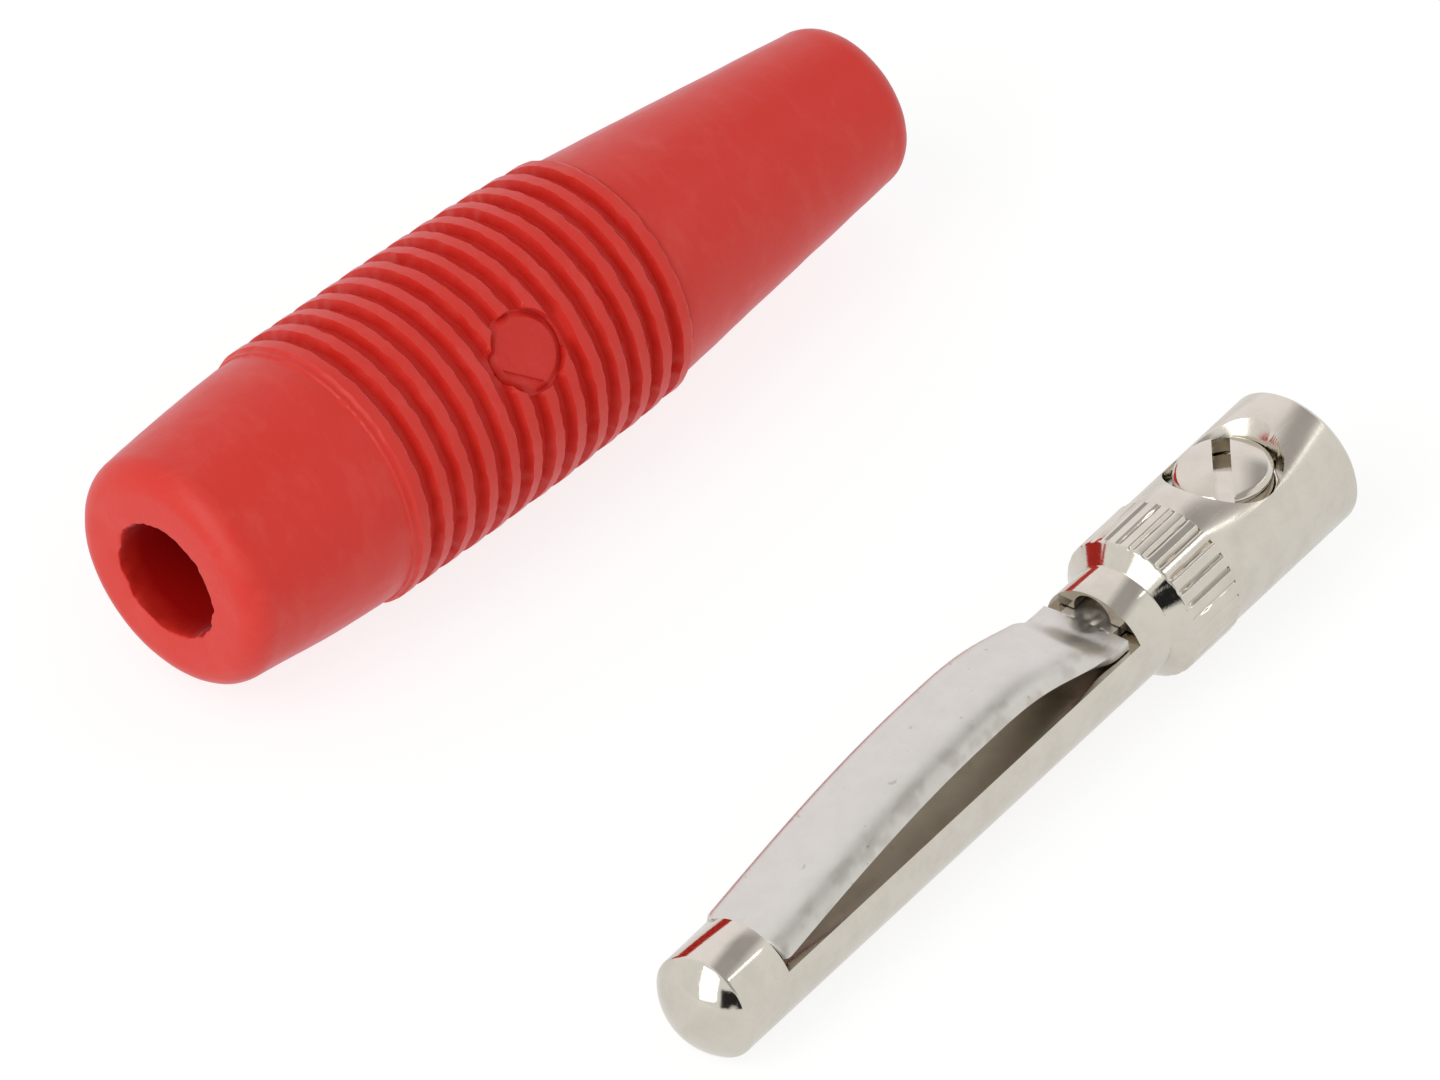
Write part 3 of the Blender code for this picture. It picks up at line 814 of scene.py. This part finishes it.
class PLUG_OT_screw(bpy.types.Operator):
    """Headless domed clamp screw with its driver slot and fine thread"""

    bl_idname = "plug.screw"
    bl_label = "Clamp screw"

    def execute(self, context):
        sizes = context.scene.plug_screw
        arcs, rows = 24, 60
        flat_radius = sizes.radius - sizes.edge
        shank = sizes.dome + sizes.edge
        run = sizes.screw_length - 2 * sizes.edge - sizes.dome
        profile = (
            [(sizes.dome * (i / arcs) ** 2, flat_radius * i / arcs) for i in range(arcs)]
            + [(sizes.dome, flat_radius, 0.06 * MM), (shank, sizes.radius, 0.06 * MM)]
            + [(shank + run * i / rows, sizes.radius) for i in range(1, rows)]
            + [
                (sizes.screw_length - sizes.edge, sizes.radius, 0.02 * MM),
                (sizes.screw_length, flat_radius, 0.02 * MM),
                (sizes.screw_length, 0.0),
            ]
        )
        bm = spun(eased(profile, 4), 128)
        for vertex in bm.verts:
            depth = vertex.co.x - sizes.dome - sizes.edge - 0.05 * MM
            radius = off_axis(vertex.co)
            if depth < 0 or radius < sizes.radius - 0.01 * MM:
                continue
            turn = math.atan2(vertex.co.z, vertex.co.y) / math.tau
            wave = abs(2 * ((depth / sizes.thread_pitch + turn) % 1.0) - 1)
            scale_across(vertex, 1 - sizes.thread_depth * wave / radius)
        upright = Matrix.Rotation(math.pi / 2, 4, "Y")
        piece = new_piece("clamp_screw_turned", moved(bm, upright))
        reach, half = 2 * sizes.radius, sizes.slot_width / 2
        carve(piece, [block((-reach, -half, -sizes.slot_depth), (reach, half, reach))])

        def slot(edge):
            middle = middle_of(edge)
            return abs(middle.y) < half + 0.01 * MM and middle.z > -sizes.slot_depth - 0.01 * MM

        break_edges(piece, 0.03 * MM, slot)
        smooth_faces(piece)
        seat = Matrix.Translation((sizes.station, 0, sizes.top))
        place = CONTACT_PLACE @ seat @ Matrix.Rotation(sizes.slot_turn, 4, "Z")
        lathe = place @ upright
        plating = nickel_plating("bright_nickel_screw", (lathe.translation, lathe.to_euler()))
        dress(piece, plating, place, "clamp_screw", "screw")
        return {"FINISHED"}


def rib_crest(sizes, station):
    """Crest radius of the ribs: level at the front, then an easy fall to the rear rib."""
    share = (station - sizes.rib_start) / (sizes.rib_count * sizes.rib_pitch)
    return sizes.crest_radius - (sizes.crest_radius - sizes.rear_crest_radius) * share**3


def quarter(station, radius, fillet, start):
    """Points of a quarter circle round the centre, clockwise from the start angle."""
    angles = [start - math.pi / 2 * i / 14 for i in range(15)]
    return [
        (station + fillet * math.cos(angle), radius + fillet * math.sin(angle)) for angle in angles
    ]


def sleeve_outside(sizes):
    """(station, radius) points over the front, the ribs and the tail."""
    swells, cells, rows = 22, 16, 30
    ledge_length, first_groove = 0.42 * MM, 0.3
    front = sizes.front_round
    points = quarter(front, sizes.front_radius - front, front, math.pi)
    for i in range(1, swells + 1):
        share = i / swells
        station = front + (sizes.rib_start - front) * share
        swell = (sizes.shoulder_radius - sizes.front_radius) * (1 - (1 - share) ** 1.5)
        ledge = sizes.ledge if station > sizes.rib_start - ledge_length else 0.0
        points.append((station, sizes.front_radius + swell - ledge))
    for i in range(sizes.rib_count):
        start = sizes.rib_start + i * sizes.rib_pitch
        crest = rib_crest(sizes, start + sizes.rib_pitch / 2)
        for k in range(1, cells + 1):
            share = k / cells
            # The front flank is a little softer than the rear one
            rise = min(smoothstep((share - 0.21) / 0.10), smoothstep((0.80 - share) / 0.07))
            foot = crest - sizes.rib_depth
            if i == 0 and share < 0.5:
                foot = crest - first_groove * sizes.rib_depth
            if i == sizes.rib_count - 1 and share > 0.5:
                foot = sizes.tail_front
            points.append((start + sizes.rib_pitch * share, foot + (crest - foot) * rise))
    rib_end = sizes.rib_start + sizes.rib_count * sizes.rib_pitch
    rear = sizes.sleeve_length - sizes.tail_round
    fall = sizes.tail_rear - sizes.tail_front
    for i in range(rows + 1):
        share = i / rows
        points.append((rib_end + (rear - rib_end) * share, sizes.tail_front + fall * share))
    rounding = sizes.tail_round
    return points + quarter(rear, sizes.tail_rear - rounding, rounding, math.pi / 2)[1:]


def sleeve_inside(sizes, contact):
    """The cavity from the cable end back to the mouth; the contact is gripped by it."""
    play, cells = 0.04 * MM, 8
    grip = contact.barrel_radius + play
    collar_grip = contact.collar_radius + play
    collar_seat = sizes.mouth_length + contact.cone_length
    barrel_seat = collar_seat + contact.collar_length
    cavity_end = barrel_seat + contact.barrel_length
    mouth = [sizes.mouth_length * (1 - i / cells) for i in range(1, cells)]
    return [
        (sizes.sleeve_length, sizes.cable_radius, 0.08 * MM),
        (cavity_end + contact.cone_length, sizes.cable_radius, 0.2 * MM),
        (cavity_end, grip, 0.1 * MM),
        (barrel_seat, grip),
        (barrel_seat, collar_grip),
        (collar_seat, collar_grip, 0.1 * MM),
        (sizes.mouth_length, sizes.mouth_radius, 0.1 * MM),
        *[(station, sizes.mouth_radius) for station in mouth],
        (0.0, sizes.mouth_radius, 0.06 * MM),
    ]


def roughen_skin(bm, sizes):
    """Uneven moulded skin, a ragged rim round the mouth and wavy edges on the ribs."""
    rib_end = sizes.rib_start + sizes.rib_count * sizes.rib_pitch

    def lumps(vertex, grain):
        return noise.noise(vertex.co / (grain * MM))

    for vertex in bm.verts:
        radius = off_axis(vertex.co)
        if radius < sizes.mouth_radius + 0.3 * MM and vertex.co.x > 0.4 * MM:
            continue
        rough = lumps(vertex, 1.9) + 0.5 * lumps(vertex, 0.6)
        if radius < sizes.mouth_radius + 0.1 * MM:
            rough += 4.5 * lumps(vertex, 0.5) + 3 * lumps(vertex, 0.22)
        if sizes.rib_start < vertex.co.x < rib_end:
            vertex.co.x += sizes.waviness * lumps(vertex, 0.42)
        scale_across(vertex, 1 + sizes.unevenness * rough / max(radius, MM))


def stamp_gate_mark(piece, sizes, seat):
    """A flat spot between the ribs, with a low step across its near side and a ring groove."""
    stub_height, step_depth, slope, segments = 0.9 * MM, 0.09 * MM, 0.07 * MM, 96
    step_turn, arcs = math.radians(-132), 24
    stub = drum(sizes.spot_radius, stub_height, segments)
    carve(piece, [moved(stub, seat @ lifted(sizes.spot_height - stub_height))], "UNION")
    clear = drum(sizes.spot_radius, sizes.crest_radius, segments)
    carve(piece, [moved(clear, seat @ lifted(sizes.spot_height))])
    half_arc = math.acos(sizes.spot_step / sizes.spot_disc)
    turns = [step_turn + half_arc * (2 * i / arcs - 1) for i in range(arcs + 1)]
    rim = [(sizes.spot_disc * math.cos(turn), sizes.spot_disc * math.sin(turn)) for turn in turns]
    step = prism(rim, sizes.spot_height - step_depth, sizes.crest_radius)
    carve(piece, [moved(step, seat)])
    groove = [
        (0.0, sizes.spot_radius - slope),
        (0.0, sizes.spot_radius),
        (sizes.spot_height, sizes.spot_radius),
        (sizes.spot_height, sizes.spot_disc),
        (sizes.spot_height - sizes.spot_groove, sizes.spot_disc),
        (0.0, sizes.spot_radius - slope),
    ]
    upright = Matrix.Rotation(-math.pi / 2, 4, "Y")
    carve(piece, [moved(spun(groove, segments), seat @ lifted(sizes.spot_groove) @ upright)])


def sleeve_painted_shade(sizes, point, on_spot):
    """Painted shade between the ribs and growing into the mouth, and a little darkening on the gate
    mark's disc.
    """
    spot_darkening, groove_painted_shade, mouth_painted_shade = 0.15, 0.32, 0.25
    radius, along = off_axis(point), point.x - sizes.rib_start
    if on_spot:
        return spot_darkening
    if 0 < along < sizes.rib_count * sizes.rib_pitch:
        sunk = groove_painted_shade * (rib_crest(sizes, point.x) - radius) / sizes.rib_depth
        return min(groove_painted_shade, max(0.0, sunk))
    if radius < sizes.mouth_radius + 0.5 * MM and point.x > 0.1 * MM:
        return min(1.0, mouth_painted_shade + point.x / (1.3 * MM))
    return 0.0


class PLUG_OT_sleeve(bpy.types.Operator):
    """Moulded insulating sleeve with its ribs, mouth, cable hole and gate mark"""

    bl_idname = "plug.sleeve"
    bl_label = "Insulating sleeve"

    def execute(self, context):
        sizes, contact = context.scene.plug_sleeve, context.scene.plug_contact
        outside = sleeve_outside(sizes)
        profile = outside + sleeve_inside(sizes, contact) + [outside[0]]
        bm = spun(eased(profile), 224)
        roughen_skin(bm, sizes)
        piece = new_piece("sleeve_moulded", bm)
        turn = Matrix.Rotation(sizes.spot_turn, 4, "X")
        seat = Matrix.Translation((sizes.spot_station, 0, 0)) @ turn
        stamp_gate_mark(piece, sizes, seat)
        centre = seat @ Vector((0, 0, sizes.spot_height))
        axis = turn.to_3x3() @ UP

        def from_spot(point):
            """How far the point lies from the mark's own axis."""
            away = point - centre
            return (away - axis * away.dot(axis)).length

        def spot(edge):
            middle = middle_of(edge)
            above = (middle - centre).dot(axis)
            return from_spot(middle) < sizes.spot_radius * 1.05 and above > -0.2 * MM

        break_edges(piece, 0.03 * MM, spot)
        # Painted shade between the ribs and in the mouth, and darkening on the gate mark's disc
        vertex_shades = []
        for vertex in piece.data.vertices:
            near = from_spot(vertex.co) < sizes.spot_disc + 0.03 * MM
            on_spot = near and vertex.co.dot(axis) > 3 * MM
            vertex_shades.append(sleeve_painted_shade(sizes, vertex.co, on_spot))
        mark_painted_shade(piece, "POINT", vertex_shades)
        smooth_faces(piece)
        plastic = red_plastic("moulded_red_plastic", (SLEEVE_FRONT, SLEEVE_TURN))
        dress(piece, plastic, SLEEVE_PLACE, "insulating_sleeve", "contact")
        return {"FINISHED"}


# Studio

VIEW_CENTRE = Vector((2.3412, 1.4827, 0.0)) * MM
VIEW_ELEVATION = math.radians(43)
VIEW_DISTANCE = 1500 * MM
LENS = 1166.25
SENSOR_WIDTH = 36.0

# The camera's right, and its heading over the floor
RIGHT = Vector((0.6094, -0.7929, 0.0))
AHEAD = Vector((0.7929, 0.6094, 0.0))

FLOOR_RADIUS = 6.0

# Name, place and run of the width (as right, ahead and up), size in metres and radiance
LAMPS = (
    ("key", (-0.53, -0.55, 0.54), (0.33, -0.26, 0.12), (0.24, 0.58), 2.1),
    ("strip", (0.63, 0.25, 0.73), (0.6, -0.2, 0.0), (0.02, 0.20), 2.1),
)
LAMP_DISTANCE = 0.5

# The room's tones: walls, the wall beyond the floor, a grey patch above and the dark gap
WALL = (0.87, 0.87, 0.86)
FAR_WALL = (1.0, 0.975, 1.0)
GREY_PATCH = (0.44, 0.43, 0.43)
DARK_GAP = (0.02, 0.02, 0.02)
ROOM_LIGHT = (0.62, 0.62, 0.62)
WHITE = (1.0, 1.0, 1.0)


def from_camera(right, ahead, up):
    return right * RIGHT + ahead * AHEAD + up * UP


def soft_lamp(name, toward, across, size, radiance):
    """A rectangular area lamp that looks at the plug; its width runs along across."""
    light = bpy.data.lights.new(name, "AREA")
    light.shape = "RECTANGLE"
    light.size, light.size_y = size
    light.energy = radiance * math.pi * size[0] * size[1]
    lamp = bpy.data.objects.new(name, light)
    bpy.context.scene.collection.objects.link(lamp)
    back = toward.normalized()
    height = back.cross(across).normalized()
    width = height.cross(back)
    lamp.rotation_euler = Matrix((width, height, back)).transposed().to_euler()
    lamp.location = back * LAMP_DISTANCE


def pale_floor():
    """Matt white paper that glows so that it reads white, most of all to the camera."""
    glow, seen_glow, camera_glow = 0.56, 0.08, 0.17
    material = bpy.data.materials.new("pale_floor")
    material.use_nodes = True
    tree = material.node_tree
    path = add(tree, "ShaderNodeLightPath").outputs
    camera = path["Is Camera Ray"]
    # Camera, glossy and transmission rays see the white background as it is
    seen = reckon(tree, "MAXIMUM", camera, path["Is Glossy Ray"])
    seen = reckon(tree, "MAXIMUM", seen, path["Is Transmission Ray"])
    filled = reckon(tree, "MULTIPLY_ADD", seen, seen_glow, glow)
    feed(
        tree,
        tree.nodes["Principled BSDF"],
        Roughness=0.9,
        Specular_IOR_Level=0.1,
        Base_Color=bpy.context.scene.plug_colours.floor,
        Emission_Color=WHITE,
        Emission_Strength=reckon(tree, "MULTIPLY_ADD", camera, camera_glow, filled),
    )
    return material


def span(tree, direction, axis, low, high, soft):
    """1 where the direction's part along the axis lies from low to high, with soft ends."""
    dot = {"operation": "DOT_PRODUCT"}
    part = add(tree, "ShaderNodeVectorMath", dot, _0=direction, _1=axis).outputs["Value"]
    share = reckon(tree, "MULTIPLY_ADD", part, 0.5, 0.5)
    ends = [(low - soft, 0.0), (low + soft, 1.0), (high - soft, 1.0), (high + soft, 0.0)]
    return ramp(tree, share, [((place + 1) / 2, tone) for place, tone in ends])


def studio_world():
    """An even white room with a whiter wall beyond the floor, a grey patch above to the right and a
    dark gap behind the camera.
    """
    world = bpy.data.worlds.new("studio")
    world.use_nodes = True
    tree = world.node_tree
    path = add(tree, "ShaderNodeLightPath").outputs
    direction = add(tree, "ShaderNodeTexCoord").outputs["Generated"]

    def overlap(*spans):
        """1 where the direction lies in all the (axis, low, high, soft) spans."""
        share = span(tree, direction, *spans[0])
        for other in spans[1:]:
            share = reckon(tree, "MULTIPLY", share, span(tree, direction, *other))
        return share

    far = overlap((AHEAD, 0.55, 1.2, 0.2))
    grey = overlap((RIGHT, 0.10, 0.56, 0.09), (UP, 0.56, 1.2, 0.08))
    gap = overlap((RIGHT, -0.31, 0.22, 0.015), (UP, -0.2, 0.47, 0.015), (AHEAD, -1.2, -0.5, 0.05))
    walls = blend(tree, grey, blend(tree, far, WALL, FAR_WALL), GREY_PATCH)
    studio = blend(tree, gap, walls, DARK_GAP)
    lit = blend(tree, path["Is Glossy Ray"], ROOM_LIGHT, studio)
    feed(tree, tree.nodes["Background"], Color=blend(tree, path["Is Camera Ray"], lit, WHITE))
    return world


class PLUG_OT_studio(bpy.types.Operator):
    """Pale floor, soft lamps and the camera at the photograph's angle"""

    bl_idname = "plug.studio"
    bl_label = "Studio"

    def execute(self, context):
        scene = context.scene
        bm = bmesh.new()
        bmesh.ops.create_circle(bm, cap_ends=True, segments=96, radius=FLOOR_RADIUS)
        floor = new_piece("studio_floor", bm)
        floor.data.materials.append(pale_floor())
        for name, toward, across, size, radiance in LAMPS:
            soft_lamp(name, from_camera(*toward), from_camera(*across), size, radiance)
        scene.world = studio_world()
        scene.view_settings.view_transform = "Standard"
        camera = bpy.data.cameras.new("photo_camera")
        camera.lens = LENS
        camera.sensor_width = SENSOR_WIDTH
        camera.clip_start = 0.01
        camera.clip_end = 100.0
        eye = bpy.data.objects.new("photo_camera", camera)
        scene.collection.objects.link(eye)
        eye.rotation_euler = (math.pi / 2 - VIEW_ELEVATION, 0.0, math.atan2(-AHEAD.x, AHEAD.y))
        look = AHEAD * math.cos(VIEW_ELEVATION) - UP * math.sin(VIEW_ELEVATION)
        eye.location = VIEW_CENTRE - look * VIEW_DISTANCE
        scene.camera = eye
        return {"FINISHED"}


STEPS = ("contact", "leaf", "screw", "sleeve", "studio")


class PLUG_PT_looks(bpy.types.Panel):
    bl_label = "Banana plug"
    bl_idname = "PLUG_PT_looks"
    bl_space_type = "VIEW_3D"
    bl_region_type = "UI"
    bl_category = "Plug"

    def draw(self, context):
        for step in STEPS:
            self.layout.operator(f"plug.{step}")


GROUPS = {
    "plug_contact": ContactSizes,
    "plug_leaf": LeafSizes,
    "plug_screw": ScrewSizes,
    "plug_sleeve": SleeveSizes,
    "plug_colours": FinishColours,
}
OPERATORS = (PLUG_OT_contact, PLUG_OT_leaf, PLUG_OT_screw, PLUG_OT_sleeve, PLUG_OT_studio)
CLASSES = (*GROUPS.values(), *OPERATORS, PLUG_PT_looks)


def register():
    for cls in CLASSES:
        bpy.utils.register_class(cls)
    for name, group in GROUPS.items():
        setattr(bpy.types.Scene, name, PointerProperty(type=group))


def unregister():
    for name in GROUPS:
        delattr(bpy.types.Scene, name)
    for cls in reversed(CLASSES):
        bpy.utils.unregister_class(cls)


def main():
    register()
    for step in STEPS:
        getattr(bpy.ops.plug, step)()


if __name__ == "__main__":
    main()
